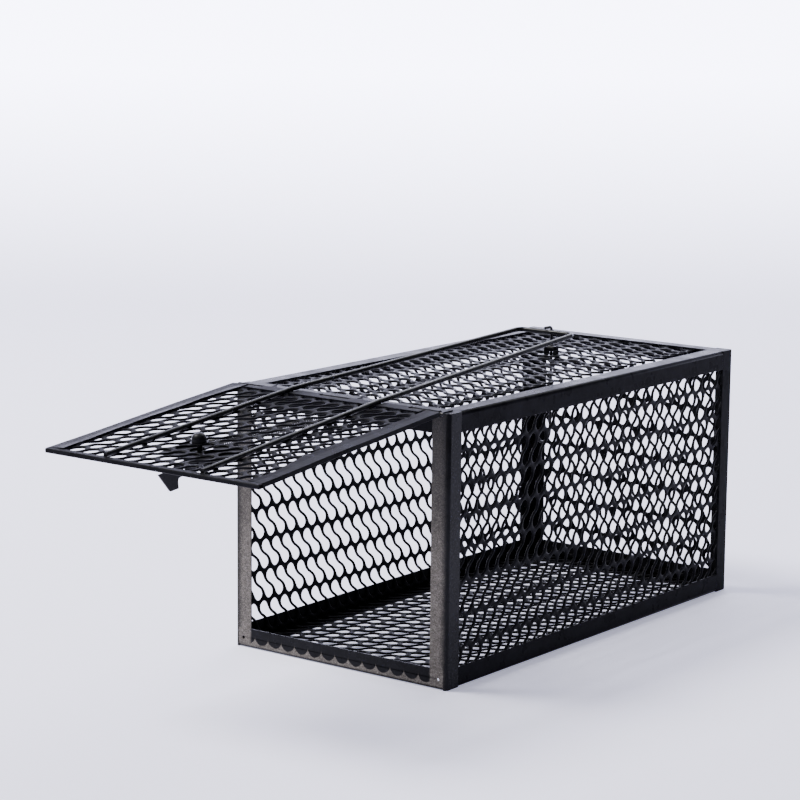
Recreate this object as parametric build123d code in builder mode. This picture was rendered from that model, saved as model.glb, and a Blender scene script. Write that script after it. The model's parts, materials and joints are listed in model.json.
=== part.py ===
from build123d import *
import os

from math import cos, radians, sin, tan

os.makedirs("parts", exist_ok=True)

# Live catch trap: a wire mesh box on an angle strip frame. Its drop door is hinged along the top of the
# open front, and a U lever on the door is held down by the trigger hook on the roof.
# Millimetres. X runs across the trap, Y from the door to the back, Z up. The origin is the middle of the
# underside of the front sill strip.

# Cage
cage_width = 132.0
cage_length = 260.0
cage_height = 134.0
flange = 10.0
sheet = 0.8
corner_radius = 1.8
side = cage_width / 2
front = -flange / 2
back = front + cage_length
sill_hole_radius = 0.8
sill_hole_inset = 5.0
post_corner_width = 2.0

# Expanded metal
mesh_thickness = 1.2
mesh_gap = 0.2
wall_pitch = 8.3
deck_pitch = 8.7
door_pitch = 8.6
cell_row = 16.0
row_shift = 0.41
cell_lean = 3.4
cell_lobe = 3.2
cell_shoulder = 4.4
cell_half_length = 7.9
mesh_rim = 1.5

# Door, drooping below the horizontal as it is held open
door_droop = 6.0
door_length = 133.5
door_half_width = 64.0
door_sheet = 0.6
door_mesh_thickness = 1.0
leaf_width = 10.0
under_leaf_width = 6.0
edge_width = 3.0
hinge_leaf_width = 6.0
hinge_y = front - 1.9
hinge_z = cage_height
pin_radius = 1.0
running_clearance = 0.05
lug_radius = 1.6
lug_leaf = 10.0
sleeve_radius = 1.7
lug_spans = ((-62.0, -46.0), (-8.0, 8.0), (46.0, 62.0))
sleeve_spans = ((-45.0, -29.5), (-24.5, -9.0), (9.0, 24.5), (29.5, 45.0))
lug_notch_depth = 2.6

# U lever
wire_radius = 1.25
lever_rise = 3.3
lever_back = back - 83.5
lever_half_front = 29.0
lever_half_hinge = 27.0
lever_half_back = 17.5
lever_front_gap = 0.3
lever_notch_half = 1.6
lever_bend_radius = 20.0
lever_corner_radius = 4.0

# Latch bolt, a plate on edge that slides along the door in a channel
latch_x = 2.2
latch_travel = 8.5
blade_thickness = 1.0
blade_start = 76.0
blade_end = 130.0
blade_top = 1.0
blade_bottom = 7.8
blade_tip_top = 3.1
tooth_start = 117.6
tooth_tip = 123.2
tooth_depth = 12.6
step_at = 121.0
tooth_fillet = 1.6
guide_start = 86.0
guide_end = 111.0
guide_wall_depth = 6.5
guide_half_width = 17.0
guide_clearance = 0.25
guide_pin_places = (88.5, 104.0)
guide_pin_depth = 4.4
guide_pin_radius = 1.0
guide_pin_head = 1.8
slot_clearance = 0.2
stem_at = 101.5
stem_radius = 1.25
stem_height = 4.9
stem_slot_half_width = 1.9
stem_relief = 0.5
knob_radius = 3.5
knob_thickness = 4.2
knob_crown = 2.8
knob_rim = 0.4
washer_outer = 4.3
washer_thickness = 0.5
washer_height = 4.4

# Closing spring, between a ring on the header and a ring on the latch channel
ring_radius = 1.6
ring_wire = 0.45
spring_ring_wire = 0.4
spring_outer = 2.2
spring_inner = 1.5
spring_ring_offset = 1.7
coil_offset = 3.4
spring_x = -12.0
spring_eye_at = 88.5

# Trigger
trigger_y = lever_back + 5.0
trigger_z = cage_height + 3.0
trigger_wire = 0.75
trigger_sleeve_radius = 1.5
trigger_sleeve_half = 2.2
hook_gap = 0.2
hook_reach = 6.3
hook_bend = 2.2
bait_drop = 44.0
bait_hook_radius = 6.0
bracket_half_width = 5.0
bracket_front = 6.0
bracket_back = 6.0
ear_gap = 2.5
ear_half = 2.2
ear_top = 1.6
trigger_slot_half = 1.8
trigger_slot_reach = 4.4
trigger_pin_radius = 0.8
trigger_pin_half = 3.8
pin_ear_clearance = 0.02


def finish(builder, name):
    builder.part.label = name
    export_step(builder.part, f"parts/{name}.step")


def angle_strip(plane, length):
    """An L section with its rounded corner at the plane's origin, drawn out along the plane's normal."""
    with BuildPart() as strip:
        with BuildSketch(plane) as profile:
            Rectangle(flange, flange, align=(Align.MIN, Align.MIN))
            fillet(profile.vertices().sort_by_distance((0, 0, 0))[0], corner_radius)
            with Locations((sheet, sheet)):
                Rectangle(flange, flange, align=(Align.MIN, Align.MIN), mode=Mode.SUBTRACT)
        extrude(amount=length)
    return strip


def box_between(low, high, mode=Mode.ADD):
    """A box between two corners, added to or cut from the part being built."""
    size = [b - a for a, b in zip(low, high)]
    with Locations(tuple((a + b) / 2 for a, b in zip(low, high))):
        Box(*size, mode=mode)


def mesh_panel(plane, width, height, pitch, hand, first_cell, cuts=()):
    """Expanded metal: a sheet centred on the plane, its long cells leaning and in staggered rows.

    The cells' long way runs along the plane's y, and hand is 1 where they lean towards +x as y rises, or
    -1. One cell's centre is at first_cell. Each cut is a (u, v, width, height) opening.
    """
    half_rows = int(height / cell_row / 2) + 1
    half_columns = int(width / pitch / 2) + half_rows
    places = [
        (first_cell[0] + (column + hand * row * row_shift) * pitch, first_cell[1] + row * cell_row)
        for row in range(-half_rows, half_rows + 1)
        for column in range(-half_columns, half_columns + 1)
    ]
    outline = [
        (hand * cell_lean, cell_half_length),
        (hand * (cell_lean + cell_lobe), cell_shoulder),
        (hand * (cell_lobe - cell_lean), -cell_shoulder),
        (-hand * cell_lean, -cell_half_length),
        (-hand * (cell_lean + cell_lobe), -cell_shoulder),
        (-hand * (cell_lobe - cell_lean), cell_shoulder),
    ]
    with BuildPart() as panel:
        with BuildSketch(plane):
            Rectangle(width, height)
            with BuildSketch(mode=Mode.PRIVATE) as cells:
                with Locations(*places):
                    Polygon(*outline, align=None)
                Rectangle(width - 2 * mesh_rim, height - 2 * mesh_rim, mode=Mode.INTERSECT)
            add(cells.sketch_local, mode=Mode.SUBTRACT)
            for u, v, cut_width, cut_height in cuts:
                with Locations((u, v)):
                    Rectangle(cut_width, cut_height, mode=Mode.SUBTRACT)
        extrude(amount=mesh_thickness)
    return panel


# Corner posts, whose front flanges stop above the sill
post_planes = {
    "post_front_left": Plane((-side, front, 0), x_dir=(1, 0, 0), z_dir=(0, 0, 1)),
    "post_front_right": Plane((side, front, 0), x_dir=(0, 1, 0), z_dir=(0, 0, 1)),
    "post_back_right": Plane((side, back, 0), x_dir=(-1, 0, 0), z_dir=(0, 0, 1)),
    "post_back_left": Plane((-side, back, 0), x_dir=(0, -1, 0), z_dir=(0, 0, 1)),
}
sill_half = side - post_corner_width
for post_name, post_plane in post_planes.items():
    with BuildPart() as post:
        add(angle_strip(post_plane, cage_height).part)
        box_between((-sill_half, front, 0), (sill_half, front + sheet, flange), Mode.SUBTRACT)
    finish(post, post_name)

# Side rails, between the posts
rail_run = cage_length - 2 * flange
rail_planes = {
    "rail_top_right": Plane((side, front + flange, cage_height), x_dir=(0, 0, -1), z_dir=(0, 1, 0)),
    "rail_top_left": Plane((-side, front + flange, cage_height), x_dir=(1, 0, 0), z_dir=(0, 1, 0)),
    "rail_bottom_right": Plane((side, front + flange, 0), x_dir=(-1, 0, 0), z_dir=(0, 1, 0)),
    "rail_bottom_left": Plane((-side, front + flange, 0), x_dir=(0, 0, 1), z_dir=(0, 1, 0)),
}
for rail_name, rail_plane in rail_planes.items():
    side_rail = angle_strip(rail_plane, rail_run)
    finish(side_rail, rail_name)

# Cross rails, whose flat flanges reach over the corners inside the posts
cross_half = side - sheet
post_clear = side - flange
across = (1, 0, 0)
cross_planes = {
    "header_strip": (Plane((-cross_half, front, cage_height), x_dir=(0, 0, -1), z_dir=across), post_clear),
    "rail_top_back": (Plane((-cross_half, back, cage_height), x_dir=(0, -1, 0), z_dir=across), post_clear),
    "rail_bottom_back": (Plane((-cross_half, back, 0), x_dir=(0, 0, 1), z_dir=across), post_clear),
    "sill_strip": (Plane((-cross_half, front, 0), x_dir=(0, 1, 0), z_dir=across), sill_half),
}
for rail_name, (rail_plane, upright_half) in cross_planes.items():
    upright_y = front if rail_plane.origin.Y < 0 else back - sheet
    with BuildPart() as cross_rail:
        add(angle_strip(rail_plane, 2 * cross_half).part)
        for low_x, high_x in ((-side, -upright_half), (upright_half, side)):
            box_between((low_x, upright_y, 0), (high_x, upright_y + sheet, cage_height), Mode.SUBTRACT)
        if rail_name == "sill_strip":
            with BuildSketch(Plane.XZ.offset(-front)):
                with GridLocations(cage_width - 2 * sill_hole_inset, 0, 2, 1):
                    with Locations((0, sill_hole_inset)):
                        Circle(sill_hole_radius)
            extrude(amount=-sheet, mode=Mode.SUBTRACT)
    finish(cross_rail, rail_name)

# Mesh panels, inside the strips
panel_length = cage_length - 2 * (sheet + mesh_gap)
panel_height = cage_height - 2 * (sheet + mesh_gap)
middle_y = (front + back) / 2
middle_z = cage_height / 2
inner_half = side - sheet - mesh_thickness - mesh_gap
panel_span = panel_length - mesh_thickness - mesh_gap
panel_middle_y = front + sheet + mesh_gap + panel_span / 2
side_face = side - sheet
right_plane = Plane((side_face - mesh_thickness, middle_y, middle_z), x_dir=(0, 1, 0), z_dir=(1, 0, 0))
left_plane = Plane((-side_face, middle_y, middle_z), x_dir=(0, 1, 0), z_dir=(1, 0, 0))
mesh_right = mesh_panel(right_plane, panel_length, panel_height, wall_pitch, 1, (2.3, -7.9))
finish(mesh_right, "mesh_right")
mesh_left = mesh_panel(left_plane, panel_length, panel_height, wall_pitch, -1, (-0.7, -7.1))
finish(mesh_left, "mesh_left")

floor_plane = Plane((0, panel_middle_y, sheet), x_dir=(0, -1, 0), z_dir=(0, 0, 1))
mesh_floor = mesh_panel(floor_plane, panel_span, 2 * inner_half, deck_pitch, -1, (-1.5, -7.9))
finish(mesh_floor, "mesh_floor")

roof_plane = Plane(
    (0, panel_middle_y, cage_height - sheet - mesh_thickness), x_dir=(0, -1, 0), z_dir=(0, 0, 1)
)
trigger_cut = (panel_middle_y - trigger_y, 0, 2 * trigger_slot_reach, 2 * trigger_slot_half)
mesh_roof = mesh_panel(roof_plane, panel_span, 2 * inner_half, deck_pitch, 1, (0, 8.0), [trigger_cut])
finish(mesh_roof, "mesh_roof")

back_height = cage_height - 2 * (sheet + mesh_thickness + mesh_gap)
back_plane = Plane((0, back - sheet - mesh_thickness, middle_z), x_dir=(-1, 0, 0), z_dir=(0, 1, 0))
mesh_back = mesh_panel(back_plane, 2 * inner_half, back_height, wall_pitch, 1, (0, -7.5))
finish(mesh_back, "mesh_back")

# Hinge: lugs whose leaves lie on the header's top, with the pin through them
hinge_plane = Plane((0, hinge_y, hinge_z), x_dir=(0, 1, 0), z_dir=(1, 0, 0))
with BuildPart() as hinge_lugs:
    for low_x, high_x in lug_spans:
        with BuildSketch(hinge_plane.offset(low_x)):
            Circle(lug_radius)
            with Locations((0, cage_height - hinge_z)):
                Rectangle(lug_leaf, lug_radius - pin_radius, align=(Align.MIN, Align.MIN))
            Circle(pin_radius + pin_ear_clearance, mode=Mode.SUBTRACT)
        extrude(amount=high_x - low_x)
finish(hinge_lugs, "hinge_lugs")

with BuildPart() as hinge_pin:
    with BuildSketch(hinge_plane.offset(-door_half_width)):
        Circle(pin_radius)
    extrude(amount=2 * door_half_width)
finish(hinge_pin, "hinge_pin")

# Door. Its plane has x across the trap, y from the free edge to the hinge and z out of the door's outer
# face, so a place on the door is (x, -distance from the hinge), and heights are counted from the pin.
outward = Vector(0, -sin(radians(door_droop)), cos(radians(door_droop)))
door_plane = Plane((0, hinge_y, hinge_z), x_dir=(1, 0, 0), z_dir=outward)
leaf_low = sleeve_radius - door_sheet
under_low = leaf_low - door_mesh_thickness - door_sheet
mesh_low = leaf_low - door_mesh_thickness
leaf_high = sleeve_radius
strip_start = lug_notch_depth
strip_end = door_length - edge_width

door_side = Plane(
    (0, hinge_y, hinge_z),
    x_dir=(0, -cos(radians(door_droop)), -sin(radians(door_droop))),
    z_dir=(-1, 0, 0),
)
guide_pin_spots = [(place, -guide_pin_depth) for place in guide_pin_places]


def door_box(low_x, high_x, start, end, low, high, mode=Mode.ADD):
    """A box on the door, from start to end along it and from low to high above the pin."""
    with BuildSketch(door_plane.offset(low)) as outline:
        with Locations(((low_x + high_x) / 2, -(start + end) / 2)):
            Rectangle(high_x - low_x, end - start)
    extrude(outline.sketch, amount=high - low, mode=mode)


door_mesh_plane = Plane(
    door_plane.from_local_coords(Vector(0, -(strip_start + door_length - door_sheet) / 2, mesh_low)),
    x_dir=(1, 0, 0),
    z_dir=outward,
)
door_mesh_length = door_length - door_sheet - strip_start
stem_cut = (
    latch_x,
    (strip_start + door_length - door_sheet) / 2 - stem_at + latch_travel / 2,
    2 * stem_slot_half_width,
    latch_travel + 2 * stem_slot_half_width,
)
door_mesh_span = 2 * (door_half_width - door_sheet)
door_mesh_full = mesh_panel(
    door_mesh_plane, door_mesh_span, door_mesh_length, door_pitch, 1, (0, 1.5), [stem_cut]
)
with BuildPart() as door_mesh:
    add(door_mesh_full.part)
    door_box(-side, side, 0, door_length, leaf_low, leaf_low + mesh_thickness, Mode.SUBTRACT)
finish(door_mesh, "door_mesh")

for strip_name, hand in (("door_strip_left", -1), ("door_strip_right", 1)):
    outer_x = hand * door_half_width
    with BuildPart() as door_strip:
        inner_x = outer_x - hand * leaf_width
        door_box(*sorted((outer_x, inner_x)), strip_start, strip_end, leaf_low, leaf_high)
        inner_x = outer_x - hand * under_leaf_width
        door_box(*sorted((outer_x, inner_x)), strip_start, strip_end, under_low, mesh_low)
        inner_x = outer_x - hand * door_sheet
        door_box(*sorted((outer_x, inner_x)), strip_start, strip_end, mesh_low, leaf_low)
    finish(door_strip, strip_name)

with BuildPart() as door_edge_strip:
    door_box(-door_half_width, door_half_width, strip_end, door_length, leaf_low, leaf_high)
    door_box(-door_half_width, door_half_width, strip_end, door_length, under_low, mesh_low)
    door_box(
        -door_half_width, door_half_width, door_length - door_sheet, door_length, mesh_low, leaf_low
    )
finish(door_edge_strip, "door_edge_strip")

hinge_leaf_half = door_half_width - leaf_width
with BuildPart() as door_hinge_strip:
    for low_x, high_x in sleeve_spans:
        door_box(low_x, high_x, 0, strip_start, leaf_low, leaf_high)
        with BuildSketch(hinge_plane.offset(low_x)):
            Circle(sleeve_radius)
        extrude(amount=high_x - low_x)
    door_box(-hinge_leaf_half, hinge_leaf_half, strip_start, hinge_leaf_width, leaf_low, leaf_high)
    for middle_x in (-lever_half_hinge, lever_half_hinge):
        door_box(
            middle_x - lever_notch_half,
            middle_x + lever_notch_half,
            strip_start,
            hinge_leaf_width,
            leaf_low,
            leaf_high,
            Mode.SUBTRACT,
        )
    with BuildSketch(hinge_plane.offset(-side)):
        Circle(pin_radius + running_clearance)
    extrude(amount=cage_width, mode=Mode.SUBTRACT)
finish(door_hinge_strip, "door_hinge_strip")

# U lever, lying on the door mesh from the edge strip, over the hinge pin and on to the trigger
lever_height = leaf_low + wire_radius
lever_front = lever_front_gap - strip_end
door_end = door_plane.from_local_coords(Vector(0, lever_front, lever_height))
hinge_bend = door_plane.from_local_coords(Vector(0, 0, lever_height))
rise = (lever_back - hinge_bend.Y) * tan(radians(lever_rise))
with BuildPart() as lever_wire:
    with BuildLine() as lever_path:
        FilletPolyline(
            (-lever_half_front, door_end.Y, door_end.Z),
            (-lever_half_hinge, hinge_bend.Y, hinge_bend.Z),
            (-lever_half_back, lever_back, hinge_bend.Z + rise),
            (lever_half_back, lever_back, hinge_bend.Z + rise),
            (lever_half_hinge, hinge_bend.Y, hinge_bend.Z),
            (lever_half_front, door_end.Y, door_end.Z),
            radius=[lever_bend_radius, lever_corner_radius, lever_corner_radius, lever_bend_radius],
        )
    with BuildSketch(Plane(lever_path.line @ 0, z_dir=lever_path.line % 0)):
        Circle(wire_radius)
    sweep()
lever_top = hinge_bend.Z + rise + wire_radius
finish(lever_wire, "lever_wire")

# Latch channel under the door mesh, with the two pins that carry the bolt
wall_inner = blade_thickness / 2 + guide_clearance
guide_top = mesh_low
guide_base = guide_top - sheet
stem_slot_start = stem_at - latch_travel - stem_slot_half_width
with BuildPart() as latch_channel:
    door_box(
        latch_x - guide_half_width, latch_x + guide_half_width, guide_start, guide_end, guide_base, guide_top
    )
    for hand in (-1, 1):
        wall = sorted((latch_x + hand * wall_inner, latch_x + hand * (wall_inner + sheet)))
        door_box(*wall, guide_start, guide_end, -guide_wall_depth, guide_base)
    door_box(
        latch_x - stem_slot_half_width,
        latch_x + stem_slot_half_width,
        stem_slot_start,
        stem_at + stem_slot_half_width,
        -blade_top - stem_relief,
        guide_top,
        Mode.SUBTRACT,
    )
    with BuildSketch(door_side.offset(-side)):
        with Locations(*guide_pin_spots):
            Circle(guide_pin_radius + pin_ear_clearance)
    extrude(amount=cage_width, mode=Mode.SUBTRACT)
finish(latch_channel, "latch_channel")

pin_half = wall_inner + sheet + guide_pin_head / 2
with BuildPart() as latch_pins:
    for low_x, high_x, radius in (
        (-pin_half, pin_half, guide_pin_radius),
        (-pin_half, -wall_inner - sheet, guide_pin_head),
        (wall_inner + sheet, pin_half, guide_pin_head),
    ):
        with BuildSketch(door_side.offset(-latch_x - high_x)):
            with Locations(*guide_pin_spots):
                Circle(radius)
        extrude(amount=high_x - low_x)
finish(latch_pins, "latch_pins")

# Latch bolt: a step lets its tongue pass behind the sill, and its ramp rides over the sill
with BuildPart() as latch_blade:
    with BuildSketch(door_side.offset(-latch_x - blade_thickness / 2)) as blade_face:
        with BuildLine():
            Polyline(
                (blade_start, -blade_top),
                (tooth_start, -blade_top),
                (step_at, -blade_tip_top),
                (blade_end, -blade_tip_top),
                (tooth_tip, -tooth_depth),
                (tooth_start, -tooth_depth),
                (tooth_start, -blade_bottom),
                (blade_start, -blade_bottom),
                close=True,
            )
        make_face()
        fillet(blade_face.vertices().sort_by_distance((tooth_start, -blade_bottom, 0))[0], tooth_fillet)
        slot_height = 2 * (guide_pin_radius + slot_clearance)
        for place, depth in guide_pin_spots:
            with Locations((place + latch_travel / 2, depth)):
                SlotOverall(latch_travel + slot_height, slot_height, mode=Mode.SUBTRACT)
    extrude(amount=blade_thickness)
finish(latch_blade, "latch_blade")

with BuildPart() as latch_stem:
    with BuildSketch(door_plane.offset(-blade_top)):
        with Locations((latch_x, -stem_at)):
            Circle(stem_radius)
    extrude(amount=blade_top + stem_height)
finish(latch_stem, "latch_stem")

with BuildPart() as latch_knob:
    with BuildSketch(door_plane.offset(stem_height)):
        with Locations((latch_x, -stem_at)):
            Circle(knob_radius)
    extrude(amount=knob_thickness)
    rims = latch_knob.edges().filter_by(GeomType.CIRCLE)
    low_rim, high_rim = rims.sort_by(Axis.Z)
    fillet(high_rim, knob_crown)
    fillet(low_rim, knob_rim)
finish(latch_knob, "latch_knob")

with BuildPart() as knob_washer:
    with BuildSketch(door_plane.offset(washer_height)):
        with Locations((latch_x, -stem_at)):
            Circle(washer_outer)
            Circle(stem_radius + pin_ear_clearance, mode=Mode.SUBTRACT)
    extrude(amount=washer_thickness)
finish(knob_washer, "knob_washer")

# Closing spring left of the bolt: rings hooked in the header's eye and in the channel's, and the coil
header_eye_at = Vector(spring_x, front + sheet / 2, cage_height - flange - ring_radius - ring_wire)
channel_eye_at = door_side.from_local_coords(
    Vector(spring_eye_at, guide_base - ring_radius - ring_wire, -spring_x)
)
for eye_name, eye_at in (("header_eye", header_eye_at), ("channel_eye", channel_eye_at)):
    with BuildPart() as spring_eye:
        with BuildSketch(Plane(eye_at + Vector(0, ring_radius, 0), x_dir=(1, 0, 0), z_dir=(0, 0, 1))):
            Circle(ring_wire)
        revolve(axis=Axis(eye_at, (1, 0, 0)))
    finish(spring_eye, eye_name)

spring_line = (channel_eye_at - header_eye_at).normalized()
spring_length = (channel_eye_at - header_eye_at).length
spring_plane = Plane(header_eye_at, x_dir=(1, 0, 0), z_dir=spring_line)
spring_up = spring_plane.y_dir
with BuildPart() as closing_spring:
    with BuildSketch(spring_plane.offset(coil_offset)):
        Circle(spring_outer)
        Circle(spring_inner, mode=Mode.SUBTRACT)
    extrude(amount=spring_length - 2 * coil_offset)
    for start in (coil_offset, spring_length - coil_offset - sheet):
        with BuildSketch(spring_plane.offset(start)):
            Circle(spring_outer)
        extrude(amount=sheet)
    for along in (spring_ring_offset, spring_length - spring_ring_offset):
        centre = header_eye_at + spring_line * along
        with BuildSketch(Plane(centre + Vector(ring_radius, 0, 0), x_dir=(1, 0, 0), z_dir=spring_line)):
            Circle(spring_ring_wire)
        revolve(axis=Axis(centre, spring_up))
finish(closing_spring, "closing_spring")

# Trigger: bracket and pin on the roof, and the wire that is the hook above and the bait hook below
roof_top = cage_height - sheet
ear_front = trigger_y - ear_half
with BuildPart() as trigger_bracket:
    box_between(
        (-bracket_half_width, trigger_y - bracket_front, roof_top),
        (bracket_half_width, trigger_y + bracket_back, roof_top + sheet),
    )
    box_between(
        (-trigger_slot_half, trigger_y - trigger_slot_reach, roof_top),
        (trigger_slot_half, trigger_y + trigger_slot_reach, roof_top + sheet),
        Mode.SUBTRACT,
    )
    for hand in (-1, 1):
        ear = sorted((hand * ear_gap, hand * (ear_gap + sheet)))
        box_between(
            (ear[0], ear_front, roof_top + sheet), (ear[1], trigger_y + ear_half, trigger_z + ear_top)
        )
    with BuildSketch(Plane((-side, trigger_y, trigger_z), x_dir=(0, 1, 0), z_dir=(1, 0, 0))):
        Circle(trigger_pin_radius + pin_ear_clearance)
    extrude(amount=cage_width, mode=Mode.SUBTRACT)
finish(trigger_bracket, "trigger_bracket")

trigger_plane = Plane((0, trigger_y, trigger_z), x_dir=(0, 1, 0), z_dir=(1, 0, 0))
with BuildPart() as trigger_pin:
    with BuildSketch(trigger_plane.offset(-trigger_pin_half)):
        Circle(trigger_pin_radius)
    extrude(amount=2 * trigger_pin_half)
finish(trigger_pin, "trigger_pin")

hook_height = lever_top + hook_gap + trigger_wire
wire_start = (trigger_sleeve_radius + trigger_pin_radius) / 2
with BuildPart() as trigger_hook:
    with BuildSketch(trigger_plane.offset(-trigger_sleeve_half)):
        Circle(trigger_sleeve_radius)
    extrude(amount=2 * trigger_sleeve_half)
    with BuildLine() as hook_path:
        FilletPolyline(
            (0, trigger_y, trigger_z + wire_start),
            (0, trigger_y, hook_height),
            (0, trigger_y - hook_reach, hook_height),
            radius=hook_bend,
        )
    with BuildSketch(Plane(hook_path.line @ 0, z_dir=hook_path.line % 0)):
        Circle(trigger_wire)
    sweep(path=hook_path.line)
    bait_low = trigger_z - bait_drop
    with BuildLine() as bait_path:
        shank = Line((0, trigger_y, trigger_z - wire_start), (0, trigger_y, bait_low))
        ThreePointArc(
            shank @ 1,
            (0, trigger_y - bait_hook_radius, bait_low - bait_hook_radius),
            (0, trigger_y - 2 * bait_hook_radius, bait_low),
        )
    with BuildSketch(Plane(bait_path.line @ 0, z_dir=bait_path.line % 0)):
        Circle(trigger_wire)
    sweep(path=bait_path.line)
    with BuildSketch(trigger_plane.offset(-side)):
        Circle(trigger_pin_radius + running_clearance)
    extrude(amount=cage_width, mode=Mode.SUBTRACT)
finish(trigger_hook, "trigger_hook")

hinge_at = (0, round(hinge_y, 2), round(hinge_z, 2))
print("hinge", hinge_at, "trigger pivot", (0, trigger_y, trigger_z))
print("spring eye on the header", header_eye_at, "spring length", round(spring_length, 2))
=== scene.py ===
import json
import math

import bmesh
import bpy
import numpy as np
from mathutils import Matrix, Vector, noise


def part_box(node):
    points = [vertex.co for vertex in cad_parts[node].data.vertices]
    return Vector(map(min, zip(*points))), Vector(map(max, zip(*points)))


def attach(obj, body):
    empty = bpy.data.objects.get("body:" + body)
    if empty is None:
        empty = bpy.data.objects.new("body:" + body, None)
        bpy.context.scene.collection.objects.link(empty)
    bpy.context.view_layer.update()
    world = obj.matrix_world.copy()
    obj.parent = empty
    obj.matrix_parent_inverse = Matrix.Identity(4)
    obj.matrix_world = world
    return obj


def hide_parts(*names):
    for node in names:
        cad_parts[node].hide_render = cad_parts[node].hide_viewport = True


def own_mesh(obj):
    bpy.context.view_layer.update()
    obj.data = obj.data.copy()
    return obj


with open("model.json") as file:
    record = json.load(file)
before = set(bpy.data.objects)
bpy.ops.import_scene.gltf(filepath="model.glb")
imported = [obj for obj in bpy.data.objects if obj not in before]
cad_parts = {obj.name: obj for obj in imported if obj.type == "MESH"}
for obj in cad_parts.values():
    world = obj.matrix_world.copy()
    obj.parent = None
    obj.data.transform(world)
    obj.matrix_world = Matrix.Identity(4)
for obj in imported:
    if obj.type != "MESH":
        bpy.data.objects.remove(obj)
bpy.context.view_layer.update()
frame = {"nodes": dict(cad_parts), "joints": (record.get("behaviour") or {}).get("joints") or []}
noise.seed_set(5)

MM = 0.001
nodes = frame["nodes"]
hinge = Vector(next(j["pos_m"] for j in frame["joints"] if j["name"] == "door_swing"))
DOOR_DROOP = math.radians(6.0)

# ---------------------------------------------------------------- camera, floor and light
HEADING = math.radians(37.354)
DIP = math.radians(9.973)
ROLL = math.radians(0.535)
CAMERA_AT = Vector((0.77655, -0.97408, 0.35189))
LENS = 117.76
PAPER_GLOW_LOW = 0.5
PAPER_GLOW_HIGH = 8.0
GLOW_FULL_FROM = 0.2
GLOW_FADES_FROM = 0.36
GLOW_GONE_AT = 0.50
GLOW_REMAINS = 0.06
PAPER_MIDDLE = Vector((0.0, 0.125))
PAPER_HALF_WIDTH = 3.5
PAPER_NEAR = -2.6
PAPER_FLAT_END = 1.1
PAPER_BEND = 0.9
PAPER_TOP = 3.2
PAPER_BEND_STEPS = 24
KEY_POWER = 120
BACK_POWER = 22
WORLD_STRENGTH = 0.12


def add_camera():
    """The camera at the photograph's angle, with its slight roll."""
    ahead = Vector(
        (-math.sin(HEADING) * math.cos(DIP), math.cos(HEADING) * math.cos(DIP), -math.sin(DIP))
    )
    level = Vector((math.cos(HEADING), math.sin(HEADING), 0.0))
    above = level.cross(ahead)
    right = level * math.cos(ROLL) + above * math.sin(ROLL)
    up = above * math.cos(ROLL) - level * math.sin(ROLL)
    data = bpy.data.cameras.new("camera")
    data.lens = LENS
    data.clip_start = 0.05
    data.clip_end = 50.0
    camera = bpy.data.objects.new("camera", data)
    camera.matrix_world = Matrix(
        (
            (right.x, up.x, -ahead.x, CAMERA_AT.x),
            (right.y, up.y, -ahead.y, CAMERA_AT.y),
            (right.z, up.z, -ahead.z, CAMERA_AT.z),
            (0.0, 0.0, 0.0, 1.0),
        )
    )
    bpy.context.scene.collection.objects.link(camera)
    bpy.context.scene.camera = camera


def add_area_light(name, at, target, size, power, colour):
    data = bpy.data.lights.new(name, "AREA")
    data.shape = "DISK"
    data.size = size
    data.energy = power
    data.color = colour
    lamp = bpy.data.objects.new(name, data)
    lamp.location = at
    lamp.rotation_mode = "QUATERNION"
    lamp.rotation_quaternion = (Vector(target) - Vector(at)).to_track_quat("-Z", "Y")
    bpy.context.scene.collection.objects.link(lamp)


def new_material(name):
    material = bpy.data.materials.new(name)
    material.use_nodes = True
    tree = material.node_tree
    return material, tree, tree.nodes["Principled BSDF"]


def new_object(name, mesh):
    obj = bpy.data.objects.new(name, mesh)
    bpy.context.scene.collection.objects.link(obj)
    return obj


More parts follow.
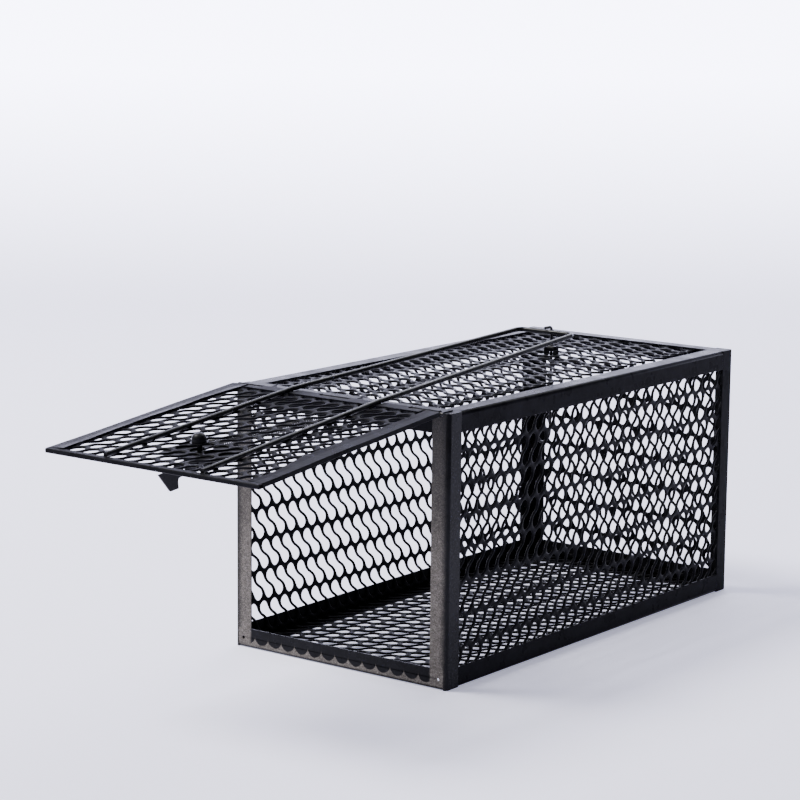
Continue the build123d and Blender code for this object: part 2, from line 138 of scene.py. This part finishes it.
def add_studio():
    """A pale seamless sheet that curves up behind the trap, two soft lamps and a dim pale world.

    The paper glows in a band behind the trap, which fades above it so the top strips don't mirror it.
    """
    away = Vector((-math.sin(HEADING), math.cos(HEADING)))
    across = Vector((math.cos(HEADING), math.sin(HEADING)))
    profile = [(PAPER_NEAR, 0.0), (PAPER_FLAT_END, 0.0)]
    for i in range(1, PAPER_BEND_STEPS + 1):
        turn = math.pi / 2 * i / PAPER_BEND_STEPS
        reach = PAPER_FLAT_END + PAPER_BEND * math.sin(turn)
        profile.append((reach, PAPER_BEND * (1 - math.cos(turn))))
    profile.append((PAPER_FLAT_END + PAPER_BEND, PAPER_TOP))
    verts, faces = [], []
    for reach, z in profile:
        for side in (-PAPER_HALF_WIDTH, PAPER_HALF_WIDTH):
            spot = PAPER_MIDDLE + away * reach + across * side
            verts.append((spot.x, spot.y, z))
    for i in range(len(profile) - 1):
        faces.append((2 * i, 2 * i + 1, 2 * i + 3, 2 * i + 2))
    mesh = bpy.data.meshes.new("studio_sheet")
    mesh.from_pydata(verts, [], faces)
    mesh.polygons.foreach_set("use_smooth", [True] * len(faces))
    sheet = new_object("studio_sheet", mesh)
    material, tree, shader = new_material("seamless_paper")
    shader.inputs["Base Color"].default_value = (0.78, 0.775, 0.93, 1)
    shader.inputs["Roughness"].default_value = 0.8
    shader.inputs["Specular IOR Level"].default_value = 0.1
    shader.inputs["Emission Color"].default_value = (0.76, 0.77, 1.0, 1)
    split = tree.nodes.new("ShaderNodeSeparateXYZ")
    tree.links.new(tree.nodes.new("ShaderNodeTexCoord").outputs["Object"], split.inputs[0])
    rise = tree.nodes.new("ShaderNodeMapRange")
    rise.inputs["From Min"].default_value = 0.0
    rise.inputs["From Max"].default_value = GLOW_FULL_FROM
    rise.inputs["To Min"].default_value = PAPER_GLOW_LOW
    rise.inputs["To Max"].default_value = PAPER_GLOW_HIGH
    tree.links.new(split.outputs["Z"], rise.inputs["Value"])
    fade = tree.nodes.new("ShaderNodeMapRange")
    fade.inputs["From Min"].default_value = GLOW_FADES_FROM
    fade.inputs["From Max"].default_value = GLOW_GONE_AT
    fade.inputs["To Min"].default_value = 1.0
    fade.inputs["To Max"].default_value = GLOW_REMAINS
    tree.links.new(split.outputs["Z"], fade.inputs["Value"])
    glow = tree.nodes.new("ShaderNodeMath")
    glow.operation = "MULTIPLY"
    tree.links.new(rise.outputs["Result"], glow.inputs[0])
    tree.links.new(fade.outputs["Result"], glow.inputs[1])
    tree.links.new(glow.outputs[0], shader.inputs["Emission Strength"])
    mesh.materials.append(material)

    world = bpy.data.worlds.new("studio_world")
    world.use_nodes = True
    background = world.node_tree.nodes["Background"]
    background.inputs["Color"].default_value = (0.93, 0.94, 1.0, 1)
    background.inputs["Strength"].default_value = WORLD_STRENGTH
    bpy.context.scene.world = world
    warm, cool = (1.0, 0.985, 0.97), (0.97, 0.98, 1.0)
    add_area_light("key_softbox", (-1.2, -0.5, 1.9), (0.0, 0.1, 0.05), 0.9, KEY_POWER, warm)
    add_area_light("back_softbox", (-0.3, 1.5, 1.5), (0.0, 0.3, 0.0), 1.2, BACK_POWER, cool)


add_camera()
add_studio()


# ---------------------------------------------------------------- materials
def node(tree, kind, **values):
    made = tree.nodes.new(kind)
    for key, value in values.items():
        setattr(made, key, value)
    return made


def noise_texture(tree, coordinates, scale, detail=3.0, roughness=0.55):
    made = node(tree, "ShaderNodeTexNoise")
    made.inputs["Scale"].default_value = scale
    made.inputs["Detail"].default_value = detail
    made.inputs["Roughness"].default_value = roughness
    tree.links.new(coordinates, made.inputs["Vector"])
    return made.outputs["Fac"]


def ramp(tree, value, stops):
    made = node(tree, "ShaderNodeValToRGB")
    elements = made.color_ramp.elements
    while len(elements) < len(stops):
        elements.new(0.5)
    for element, (place, colour) in zip(elements, stops):
        element.position = place
        element.color = (*colour, 1)
    tree.links.new(value, made.inputs["Fac"])
    return made.outputs["Color"]


def gray(level):
    return (level, level, level)


def math_node(tree, operation, first, second=None, third=None):
    made = node(tree, "ShaderNodeMath", operation=operation)
    for socket, value in zip(made.inputs, (first, second, third)):
        if value is None:
            continue
        if isinstance(value, (int, float)):
            socket.default_value = value
        else:
            tree.links.new(value, socket)
    return made.outputs["Value"]


def smooth_step(tree, value, low, high):
    made = node(tree, "ShaderNodeMapRange", interpolation_type="SMOOTHSTEP")
    made.inputs["From Min"].default_value = low
    made.inputs["From Max"].default_value = high
    tree.links.new(value, made.inputs["Value"])
    return made.outputs["Result"]


def mix_colour(tree, share, first, second):
    made = node(tree, "ShaderNodeMix", data_type="RGBA")
    for socket, value in ((made.inputs[0], share), (made.inputs[6], first), (made.inputs[7], second)):
        if isinstance(value, (int, float)):
            socket.default_value = value
        elif isinstance(value, tuple):
            socket.default_value = (*value, 1)
        else:
            tree.links.new(value, socket)
    return made.outputs[2]


def add_bump(tree, shader, height, strength, distance):
    made = node(tree, "ShaderNodeBump")
    made.inputs["Strength"].default_value = strength
    made.inputs["Distance"].default_value = distance
    tree.links.new(height, made.inputs["Height"])
    tree.links.new(made.outputs["Normal"], shader.inputs["Normal"])


DUST_COLOUR = (0.03, 0.03, 0.033)
PAINT_BUMP = 0.25
BUMP_DEPTH = 0.2 * MM


def paint_nodes(tree, coordinates, dark, light, rough_low, rough_high):
    """Colour, roughness and height of brushed-on black paint: faint mottling, orange peel and fine dust."""
    mottle = noise_texture(tree, coordinates, 90.0, 4.0)
    speck = noise_texture(tree, coordinates, 1400.0, 2.0, 0.7)
    peel = noise_texture(tree, coordinates, 520.0, 2.0)
    colour = ramp(tree, mottle, [(0.35, dark), (0.7, light)])
    dust = ramp(tree, speck, [(0.66, gray(0.0)), (0.78, gray(0.5))])
    colour = mix_colour(tree, dust, colour, DUST_COLOUR)
    rough = ramp(tree, mottle, [(0.3, gray(rough_low)), (0.75, gray(rough_high))])
    height = math_node(tree, "MULTIPLY_ADD", speck, 0.25, peel)
    return colour, rough, height


def painted(name, dark, light, rough_low, rough_high, index):
    material, tree, shader = new_material(name)
    coordinates = node(tree, "ShaderNodeTexCoord").outputs["Object"]
    colour, rough, height = paint_nodes(tree, coordinates, dark, light, rough_low, rough_high)
    tree.links.new(colour, shader.inputs["Base Color"])
    tree.links.new(rough, shader.inputs["Roughness"])
    shader.inputs["IOR"].default_value = index
    add_bump(tree, shader, height, PAINT_BUMP, BUMP_DEPTH)
    return material


DARK_PAINT = (0.005, 0.005, 0.006)
LIGHT_PAINT = (0.010, 0.010, 0.012)
strip_paint = painted("black_strip_paint", DARK_PAINT, LIGHT_PAINT, 0.24, 0.38, 1.07)
mesh_paint = painted("black_mesh_paint", (0.004, 0.004, 0.005), (0.008, 0.008, 0.010), 0.28, 0.44, 1.09)
wire_paint = painted("black_wire_paint", (0.004, 0.004, 0.005), (0.009, 0.009, 0.011), 0.22, 0.36, 1.22)
hardware_paint = painted(
    "black_hardware_paint", (0.006, 0.006, 0.007), (0.012, 0.012, 0.014), 0.26, 0.44, 1.16
)

SCALLOP_PITCH = 8.55 * MM
SCALLOP_MIDDLE = 2.3 * MM
SCALLOP_RADIUS = 4.55 * MM
SCALLOP_HEIGHT = 6.9 * MM
SCALLOP_EDGE = 0.35 * MM
SCALLOPS_END = 55.5 * MM
CORNERS_BARE_FROM = 57.0 * MM
FRONT_FACE = -5.0 * MM
POST_HEIGHT = 0.134
DRIFT = 1.1 * MM
BARE_INDEX = 1.16
BARE_METALLIC = 0.6
BARE_BUMP = 0.35


def bare_faced(name, scalloped):
    """Black paint, with the front faces worn bare, grainy and a little brown.

    On the sill half-round scallops of paint are left below the top edge. On the posts the bare metal gives
    way to paint towards the top, a painted shade.
    """
    material, tree, shader = new_material(name)
    coordinates = node(tree, "ShaderNodeTexCoord").outputs["Object"]
    colour, rough, height = paint_nodes(tree, coordinates, DARK_PAINT, LIGHT_PAINT, 0.20, 0.34)
    shader.inputs["IOR"].default_value = BARE_INDEX
    split = node(tree, "ShaderNodeSeparateXYZ")
    tree.links.new(coordinates, split.inputs[0])
    x, y, z = split.outputs
    drift = math_node(
        tree, "MULTIPLY_ADD", noise_texture(tree, coordinates, 260.0, 3.0), DRIFT, -DRIFT / 2
    )
    depth = math_node(tree, "ADD", y, drift)
    front = smooth_step(tree, depth, FRONT_FACE + 0.5 * MM, FRONT_FACE + 0.2 * MM)
    grain = noise_texture(tree, coordinates, 1900.0, 4.0, 0.7)
    cloud = noise_texture(tree, coordinates, 120.0, 4.0)
    metal = ramp(
        tree,
        grain,
        [(0.28, (0.05, 0.045, 0.037)), (0.50, (0.14, 0.127, 0.108)), (0.74, (0.36, 0.33, 0.29))],
    )
    shade = ramp(tree, cloud, [(0.3, gray(0.7)), (0.7, gray(1.0))])
    metal = mix_colour(tree, 1.0, metal, shade)
    metal.node.blend_type = "MULTIPLY"
    wander_x = math_node(tree, "ADD", x, drift)
    if scalloped:
        wander_z = math_node(tree, "ADD", z, drift)
        turn = math_node(tree, "ADD", wander_x, 20.5 * SCALLOP_PITCH - SCALLOP_MIDDLE)
        local = math_node(
            tree, "SUBTRACT", math_node(tree, "MODULO", turn, SCALLOP_PITCH), SCALLOP_PITCH / 2
        )
        drop = math_node(tree, "MINIMUM", math_node(tree, "SUBTRACT", wander_z, SCALLOP_HEIGHT), 0.0)
        local_squared = math_node(tree, "MULTIPLY", local, local)
        drop_squared = math_node(tree, "MULTIPLY", drop, drop)
        reach = math_node(tree, "SQRT", math_node(tree, "ADD", local_squared, drop_squared))
        outside = smooth_step(tree, reach, SCALLOP_RADIUS - SCALLOP_EDGE, SCALLOP_RADIUS)
        aside = math_node(tree, "ABSOLUTE", wander_x)
        corner = smooth_step(tree, aside, SCALLOPS_END, CORNERS_BARE_FROM)
        edge = smooth_step(tree, z, 0.8 * MM, 2.0 * MM)
        bare = math_node(tree, "MAXIMUM", outside, corner)
        bare = math_node(tree, "MULTIPLY", bare, edge)
        front = math_node(tree, "MULTIPLY", front, bare)
    else:
        aside = math_node(tree, "ABSOLUTE", wander_x)
        side_fade = smooth_step(tree, aside, 65.8 * MM, 60.8 * MM)
        # Painted shade: the bare metal of the posts gives way to black paint towards the top, so the posts
        # are painted darker upward.
        painted_shade_to_top = ramp(
            tree,
            math_node(tree, "MULTIPLY", z, 1 / POST_HEIGHT),
            [(0.0, gray(1.0)), (0.4, gray(0.9)), (0.65, gray(0.45)), (1.0, gray(0.15))],
        )
        front = math_node(tree, "MULTIPLY", front, side_fade)
        front = math_node(tree, "MULTIPLY", front, painted_shade_to_top)
    tree.links.new(mix_colour(tree, front, colour, metal), shader.inputs["Base Color"])
    bare_rough = ramp(tree, grain, [(0.3, gray(0.42)), (0.8, gray(0.6))])
    tree.links.new(mix_colour(tree, front, rough, bare_rough), shader.inputs["Roughness"])
    tree.links.new(math_node(tree, "MULTIPLY", front, BARE_METALLIC), shader.inputs["Metallic"])
    add_bump(tree, shader, mix_colour(tree, front, height, grain), BARE_BUMP, BUMP_DEPTH)
    return material


bare_post = bare_faced("bare_faced_post", False)
bare_sill = bare_faced("bare_faced_sill", True)


def spring_steel():
    material, tree, shader = new_material("dark_spring_steel")
    coordinates = node(tree, "ShaderNodeTexCoord").outputs["Object"]
    grain = noise_texture(tree, coordinates, 700.0, 3.0)
    colour = ramp(tree, grain, [(0.3, (0.02, 0.02, 0.021)), (0.75, (0.09, 0.088, 0.085))])
    tree.links.new(colour, shader.inputs["Base Color"])
    rough = ramp(tree, grain, [(0.3, gray(0.28)), (0.8, gray(0.5))])
    tree.links.new(rough, shader.inputs["Roughness"])
    shader.inputs["Metallic"].default_value = 0.6
    return material


spring_metal = spring_steel()


def give(obj, material):
    obj.data.materials.clear()
    obj.data.materials.append(material)


WIRES = (
    "hinge_pin",
    "header_eye",
    "channel_eye",
    "trigger_pin",
    "latch_pins",
    "trigger_hook",
    "lever_wire",
)
HARDWARE = (
    "latch_blade",
    "latch_stem",
    "latch_knob",
    "knob_washer",
    "latch_channel",
    "trigger_bracket",
)
for cad_name, cad_object in nodes.items():
    if cad_name in ("post_front_left", "post_front_right"):
        give(cad_object, bare_post)
    elif cad_name == "sill_strip":
        give(cad_object, bare_sill)
    elif cad_name in WIRES:
        give(cad_object, wire_paint)
    elif cad_name in HARDWARE:
        give(cad_object, hardware_paint)
    else:
        give(cad_object, strip_paint)


# ---------------------------------------------------------------- expanded metal
WALL_PITCH = 8.27 * MM
DECK_PITCH = 8.70 * MM
DOOR_PITCH = 8.60 * MM
CELL_ROW = 16.0 * MM
ROW_SHIFT = 0.41
STRAND_END = 0.47 * MM
STRAND_HALF = 6.67 * MM
STRAND_HANDLE = 9.4 * MM
METAL_HALF = 0.55 * MM
STRAND_WIDTH = 0.70 * MM
STRAND_FLARE = 0.26 * MM
BOND_WIDTH = 1.05 * MM
STRAND_STEPS = 10
BOND_STEPS = 3
ROUNDING_PASSES = 3
WELD_NEAR = 0.004 * MM
WAVE_SCALE = 22
FLAT_WAVE = 0.45 * MM
HIGH_WAVE = 0.25 * MM
RIM_FLAT = 9 * MM
RIM_FADE = 5 * MM
CAGE_LIFT = 0.30 * MM
DOOR_LIFT = 0.22 * MM
# From the middle of a strand to the edge of the hole: share of the way, share of the height.
SECTION = ((0.0, 1.0), (0.6, 0.92), (1.0, 0.4), (1.0, -0.4), (0.6, -0.92), (0.0, -1.0))


def bezier(a, b, c, d, t):
    return a * (1 - t) ** 3 + 3 * b * t * (1 - t) ** 2 + 3 * c * t * t * (1 - t) + d * t**3


def ring_quads(rings, count):
    """The faces between matching rings of count points each."""
    faces = []
    for k in range(rings - 1):
        near, far = k * count, (k + 1) * count
        for i in range(count):
            j = (i + 1) % count
            faces.append((near + i, near + j, far + j, far + i))
    return faces


def cell_loops(pitch, hand):
    """The middle line of the metal round one hole, and the hole's own edge, as matching loops of points."""
    shift = ROW_SHIFT * pitch
    strand_top = np.array((STRAND_END, STRAND_HALF))
    strand_low = np.array((pitch - STRAND_END, -STRAND_HALF))
    peak = np.array((-STRAND_END - shift, CELL_ROW - STRAND_HALF))
    left_top = strand_top - (pitch, 0)
    handle = np.array((0, STRAND_HANDLE))
    line, width = [], []
    for start, end in ((left_top, peak), (peak, strand_top)):
        for i in range(BOND_STEPS):
            line.append(start + (end - start) * i / BOND_STEPS)
            width.append(BOND_WIDTH)
    for i in range(STRAND_STEPS):
        t = i / STRAND_STEPS
        line.append(bezier(strand_top, strand_top - handle, strand_low + handle, strand_low, t))
        width.append(STRAND_WIDTH + STRAND_FLARE * (2 * t - 1) ** 2)
    line = np.array(line)
    line = np.vstack((line, -line))
    width = np.array(width + width)
    before, after = np.roll(line, 1, 0), np.roll(line, -1, 0)
    first = (line - before) / np.linalg.norm(line - before, axis=1)[:, None]
    second = (after - line) / np.linalg.norm(after - line, axis=1)[:, None]
    middle = first + second
    middle /= np.linalg.norm(middle, axis=1)[:, None]
    inward = np.stack((middle[:, 1], -middle[:, 0]), 1)
    stretch = 1 / np.maximum(0.7, (first * middle).sum(1))
    hole = line + inward * (width * stretch)[:, None]
    for _ in range(ROUNDING_PASSES):
        hole = (np.roll(hole, 1, 0) + 2 * hole + np.roll(hole, -1, 0)) / 4
    if hand > 0:
        line, hole = line * (-1, 1), hole * (-1, 1)
    return line, hole


def mesh_panel(name, centre, u, v, size, pitch, hand, first_cell, seed, lift):
    """A sheet of expanded metal in the plane of u and v, cut to size (u, v) about its centre.

    Its long holes lie along v and lean to +u as v rises where hand is 1. first_cell is one hole's middle.
    """
    line, hole = cell_loops(pitch, hand)
    count = len(line)
    rows = int(size[1] / CELL_ROW / 2) + 2
    columns = int(size[0] / pitch / 2) + rows + 2
    middles = [
        (first_cell[0] + (i + hand * j * ROW_SHIFT) * pitch, first_cell[1] + j * CELL_ROW)
        for j in range(-rows, rows + 1)
        for i in range(-columns, columns + 1)
    ]
    keep = [
        m
        for m in middles
        if abs(m[0]) < size[0] / 2 + pitch and abs(m[1]) < size[1] / 2 + CELL_ROW * 0.6
    ]
    ring = np.concatenate([line + (hole - line) * a for a, _ in SECTION])
    level = np.repeat([b for _, b in SECTION], count)
    quads = np.array(ring_quads(len(SECTION), count))
    flat = np.concatenate([ring + m for m in keep])
    row_place = np.concatenate([ring[:, 1] for _ in keep])
    height = np.tile(level, len(keep)) * METAL_HALF
    faces = np.concatenate([quads + i * len(ring) for i in range(len(keep))])
    edge = np.minimum(size[0] / 2 - abs(flat[:, 0]), size[1] / 2 - abs(flat[:, 1]))
    fade = np.clip((edge - RIM_FLAT) / RIM_FADE, 0, 1)
    height = height - lift * fade * np.sin(2 * math.pi * row_place / CELL_ROW)
    wave = np.array(
        [noise.noise_vector(Vector((a * WAVE_SCALE, b * WAVE_SCALE, seed))) for a, b in flat]
    )
    flat = flat + wave[:, :2] * FLAT_WAVE
    height = height + wave[:, 2] * HIGH_WAVE * fade
    u, v = np.array(u, float), np.array(v, float)
    n = np.cross(u, v)
    points = np.array(centre) + flat[:, :1] * u + flat[:, 1:] * v + height[:, None] * n
    mesh = bpy.data.meshes.new(name)
    mesh.from_pydata(points.tolist(), [], faces.tolist())
    work = bmesh.new()
    work.from_mesh(mesh)
    bmesh.ops.remove_doubles(work, verts=work.verts, dist=WELD_NEAR)
    for direction, half in ((u, size[0] / 2), (-u, size[0] / 2), (v, size[1] / 2), (-v, size[1] / 2)):
        place = Vector(np.array(centre) + direction * half)
        everything = work.verts[:] + work.edges[:] + work.faces[:]
        bmesh.ops.bisect_plane(
            work, geom=everything, plane_co=place, plane_no=Vector(direction), clear_outer=True
        )
        rim = [e for e in work.edges if e.is_boundary]
        bmesh.ops.holes_fill(work, edges=rim, sides=0)
    bmesh.ops.recalc_face_normals(work, faces=work.faces)
    for face in work.faces:
        face.smooth = True
    work.to_mesh(mesh)
    work.free()
    panel = new_object(name, mesh)
    mesh.materials.append(mesh_paint)
    return panel


def box_middle(cad_name):
    low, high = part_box(cad_name)
    return (low + high) / 2, high - low


def cage_panels():
    """A flat sheet for each side of the cage, set so that its rows meet at the strips and its holes all
    lean one way.
    """
    x, y, z = (1, 0, 0), (0, 1, 0), (0, 0, 1)
    plans = (
        ("mesh_left", y, z, WALL_PITCH, -1, (16.8, 59.9), 1.0),
        ("mesh_right", y, z, WALL_PITCH, 1, (13.0, 26.9), 2.0),
        ("mesh_floor", y, x, DECK_PITCH, 1, (32.4, -40.5), 3.0),
        ("mesh_roof", y, x, DECK_PITCH, -1, (32.4, -40.5), 4.0),
        ("mesh_back", x, z, WALL_PITCH, -1, (0.0, 59.9), 5.0),
    )
    for cad_name, u, v, pitch, hand, first, seed in plans:
        centre, extent = box_middle(cad_name)
        size = (extent.dot(Vector(u)), extent.dot(Vector(v)))
        start = (first[0] * MM - centre.dot(Vector(u)), first[1] * MM - centre.dot(Vector(v)))
        start = (start[0] - round(start[0] / pitch) * pitch, start[1])
        panel = mesh_panel(cad_name + "_sheet", centre, u, v, size, pitch, hand, start, seed, CAGE_LIFT)
        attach(panel, "cage")
        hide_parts(cad_name)


cage_panels()


# ---------------------------------------------------------------- door
LATCH_TRAVEL = 8.5 * MM
STEM_SPARE = 0.6 * MM
CUT_REACH = 12 * MM
CUT_STRAND = 5 * MM
DOOR_FIRST_CELL = (-42.0 * MM, -33.5 * MM)
DOOR_SHEET = 0.6 * MM
FOLD = 0.35 * MM
STRIP_UNDER = 6 * MM
STRIP_STEPS = 70
EDGE_STEPS = 90
SPRING_WIRE = 0.3 * MM
SPRING_SIDES = 7
HOOK_RADIUS = 1.6 * MM
HOOK_TURN = 1.35
COIL_SPACING = 1.3 * MM
TURN_STEPS = 14
EDGE_SOFTNESS = 0.2 * MM
ALONG = np.array((0.0, -math.cos(DOOR_DROOP), -math.sin(DOOR_DROOP)))
OUTWARD = np.array((0.0, -math.sin(DOOR_DROOP), math.cos(DOOR_DROOP)))


def door_point(x, along, height):
    return np.array((x, *hinge[1:])) + ALONG * along + OUTWARD * height


def door_extent(cad_name):
    """Lowest and highest (x, distance from the hinge, height above the pin) of a CAD node on the door."""
    places = np.array([v.co for v in nodes[cad_name].data.vertices]) - np.array((0.0, *hinge[1:]))
    local = np.stack((places[:, 0], places @ ALONG, places @ OUTWARD), 1)
    return local.min(0), local.max(0)


def fill_small_holes(work, limit):
    """Closes each cut strand's end, and leaves alone any rim that is wider than the limit."""
    left = {e for e in work.edges if e.is_boundary}
    while left:
        loop, front = set(), [left.pop()]
        while front:
            edge = front.pop()
            loop.add(edge)
            for vert in edge.verts:
                for other in vert.link_edges:
                    if other in left:
                        left.discard(other)
                        front.append(other)
        places = np.array([v.co for e in loop for v in e.verts])
        if (places.max(0) - places.min(0)).max() < limit:
            bmesh.ops.holes_fill(work, edges=list(loop), sides=0)


def cut_slot(mesh, low, high, directions):
    """Opens a rectangular slot in a sheet. low and high are distances along the two directions."""
    work = bmesh.new()
    work.from_mesh(mesh)
    first, second = (Vector(d) for d in directions)
    for direction, place in ((first, low[0]), (first, high[0]), (second, low[1]), (second, high[1])):
        near = [
            f
            for f in work.faces
            if low[0] - CUT_REACH < f.calc_center_median().dot(first) < high[0] + CUT_REACH
            and low[1] - CUT_REACH < f.calc_center_median().dot(second) < high[1] + CUT_REACH
        ]
        parts = set(near)
        for face in near:
            parts.update(face.edges)
            parts.update(face.verts)
        bmesh.ops.bisect_plane(work, geom=list(parts), plane_co=direction * place, plane_no=direction)
    gone = []
    for face in work.faces:
        middle = face.calc_center_median()
        if low[0] < middle.dot(first) < high[0] and low[1] < middle.dot(second) < high[1]:
            gone.append(face)
    bmesh.ops.delete(work, geom=gone, context="FACES")
    fill_small_holes(work, CUT_STRAND)
    bmesh.ops.recalc_face_normals(work, faces=work.faces)
    work.to_mesh(mesh)
    work.free()


def add_door_mesh():
    low, high = door_extent("door_mesh")
    middle, size = (low + high) / 2, high - low
    centre = door_point(*middle)
    start = (DOOR_FIRST_CELL[0], middle[1] + DOOR_FIRST_CELL[1])
    panel = mesh_panel(
        "door_mesh_sheet", centre, (1, 0, 0), -ALONG, size[:2], DOOR_PITCH, 1, start, 6.0, DOOR_LIFT
    )
    stem_low, stem_high = door_extent("latch_stem")
    hinge_up = float(np.dot(np.array((0.0, *hinge[1:])), -ALONG))
    low_cut = (stem_low[0] - STEM_SPARE, hinge_up - stem_high[1] - STEM_SPARE)
    high_cut = (stem_high[0] + STEM_SPARE, hinge_up - stem_low[1] + LATCH_TRAVEL + STEM_SPARE)
    cut_slot(panel.data, low_cut, high_cut, ((1, 0, 0), tuple(-ALONG)))
    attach(panel, "door")
    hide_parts("door_mesh")


def lofted(name, rings, smooth=True):
    """A solid skin through matching rings of points, closed at both ends."""
    count = len(rings[0])
    verts = [tuple(p) for ring in rings for p in ring]
    faces = ring_quads(len(rings), count)
    faces.append(tuple(range(count)))
    faces.append(tuple(range((len(rings) - 1) * count, len(rings) * count)))
    mesh = bpy.data.meshes.new(name)
    mesh.from_pydata(verts, [], faces)
    work = bmesh.new()
    work.from_mesh(mesh)
    bmesh.ops.recalc_face_normals(work, faces=work.faces)
    work.to_mesh(mesh)
    work.free()
    mesh.polygons.foreach_set("use_smooth", [smooth] * len(mesh.polygons))
    return new_object(name, mesh)


def folded_section(width, under_width, low, top, lift):
    """A strip folded round the mesh's edge: (inward, height) points from under leaf to top leaf."""
    leaf_low = top - DOOR_SHEET
    mesh_low = low + DOOR_SHEET
    return (
        (under_width, low),
        (FOLD, low),
        (0.0, low + FOLD),
        (0.0, top - FOLD),
        (FOLD, top),
        (width * 0.6, top + lift * 0.3),
        (width, top + lift),
        (width, leaf_low + lift),
        (DOOR_SHEET, leaf_low),
        (DOOR_SHEET, mesh_low),
        (under_width, mesh_low),
    )


def wander(place, seed, scale=30.0):
    return noise.noise(Vector((place * scale, seed, 0.0)))


def add_door_strips():
    """The door's strips, cut and folded by hand, so their inner edges wander and rise off the mesh."""
    for cad_name, hand, seed in (("door_strip_left", -1, 1.7), ("door_strip_right", 1, 8.2)):
        low, high = door_extent(cad_name)
        outer = high[0] if hand > 0 else -low[0]
        width = high[0] - low[0]
        rings = []
        for i in range(STRIP_STEPS + 1):
            along = low[1] + (high[1] - low[1]) * i / STRIP_STEPS
            wide = width * (0.86 + 0.32 * wander(along, seed))
            lift = (0.25 + 0.5 * abs(wander(along, seed + 3.0, 45.0))) * MM
            bow = 0.3 * MM * wander(along, seed + 6.0, 20.0)
            ring = [
                door_point(hand * (outer - inward), along, height + bow)
                for inward, height in folded_section(wide, STRIP_UNDER, low[2], high[2], lift)
            ]
            rings.append(ring)
        strip = lofted(cad_name + "_folded", rings, False)
        strip.data.materials.append(strip_paint)
        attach(strip, "door")
        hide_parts(cad_name)
    low, high = door_extent("door_edge_strip")
    rings = []
    for i in range(EDGE_STEPS + 1):
        x = low[0] + (high[0] - low[0]) * i / EDGE_STEPS
        wide = (high[1] - low[1]) * (0.95 + 0.25 * wander(x, 4.4, 40.0))
        lift = 0.12 * MM * wander(x, 7.1, 50.0)
        rings.append(
            [
                door_point(x, high[1] - inward, height)
                for inward, height in folded_section(wide, high[1] - low[1], low[2], high[2], lift)
            ]
        )
    strip = lofted("door_edge_folded", rings, False)
    strip.data.materials.append(strip_paint)
    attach(strip, "door")
    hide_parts("door_edge_strip")


def tube(name, path, radius, sides, material):
    """A round wire along a path of points, closed at both ends."""
    path = np.array(path)
    tangents = np.gradient(path, axis=0)
    tangents /= np.linalg.norm(tangents, axis=1)[:, None]
    normal = np.cross(tangents[0], (0.3, 0.5, 0.8))
    rings = []
    for point, tangent in zip(path, tangents):
        normal = normal - tangent * np.dot(normal, tangent)
        normal /= np.linalg.norm(normal)
        other = np.cross(tangent, normal)
        turns = [2 * math.pi * i / sides for i in range(sides)]
        rings.append([point + radius * (normal * math.cos(a) + other * math.sin(a)) for a in turns])
    wire = lofted(name, rings)
    wire.data.materials.append(material)
    return wire


def add_spring():
    """The closing spring as wound wire with a round hook at each end. It shortens as the door shuts."""
    low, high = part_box("closing_spring")
    x, z = (low.x + high.x) / 2, (low.z + high.z) / 2
    coil_radius = (high.x - low.x) / 2 - SPRING_WIRE
    start, end = high.y - 2 * HOOK_RADIUS, low.y + 2 * HOOK_RADIUS
    back_hook, front_hook = high.y - SPRING_WIRE - HOOK_RADIUS, low.y + SPRING_WIRE + HOOK_RADIUS
    coil_steps = int((start - end) / COIL_SPACING) * TURN_STEPS
    path = []
    for i in range(TURN_STEPS + 1):
        turn = math.pi * (HOOK_TURN * i / TURN_STEPS - 0.35 + 0.5)
        path.append((x, back_hook + HOOK_RADIUS * math.sin(turn), z + HOOK_RADIUS * math.cos(turn)))
    for i in range(coil_steps + 1):
        angle = 2 * math.pi * i / TURN_STEPS
        y = start + (end - start) * i / coil_steps
        path.append((x + coil_radius * math.sin(angle), y, z - coil_radius * math.cos(angle)))
    for i in range(TURN_STEPS + 1):
        turn = math.pi * (HOOK_TURN * i / TURN_STEPS - 0.5)
        path.append((x, front_hook - HOOK_RADIUS * math.sin(turn), z - HOOK_RADIUS * math.cos(turn)))
    coil = tube("closing_spring_coil", path, SPRING_WIRE, SPRING_SIDES, spring_metal)
    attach(coil, "spring")
    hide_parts("closing_spring")
    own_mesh(coil)


add_door_mesh()
add_door_strips()
add_spring()


# ---------------------------------------------------------------- softened edges on the CAD pieces
SOFTENED = ("post_", "rail_", "header_strip", "sill_strip", "latch_blade", "trigger_bracket")


def soften(cad_name):
    """Takes the knife edge off a sheet piece, as paint and cutting do."""
    weld = nodes[cad_name].modifiers.new("weld", "WELD")
    weld.merge_threshold = 0.002 * MM
    bevel = nodes[cad_name].modifiers.new("bevel", "BEVEL")
    bevel.width = EDGE_SOFTNESS
    bevel.segments = 2
    bevel.limit_method = "ANGLE"
    bevel.angle_limit = math.radians(50)


for cad_name in nodes:
    if cad_name.startswith(SOFTENED):
        soften(cad_name)
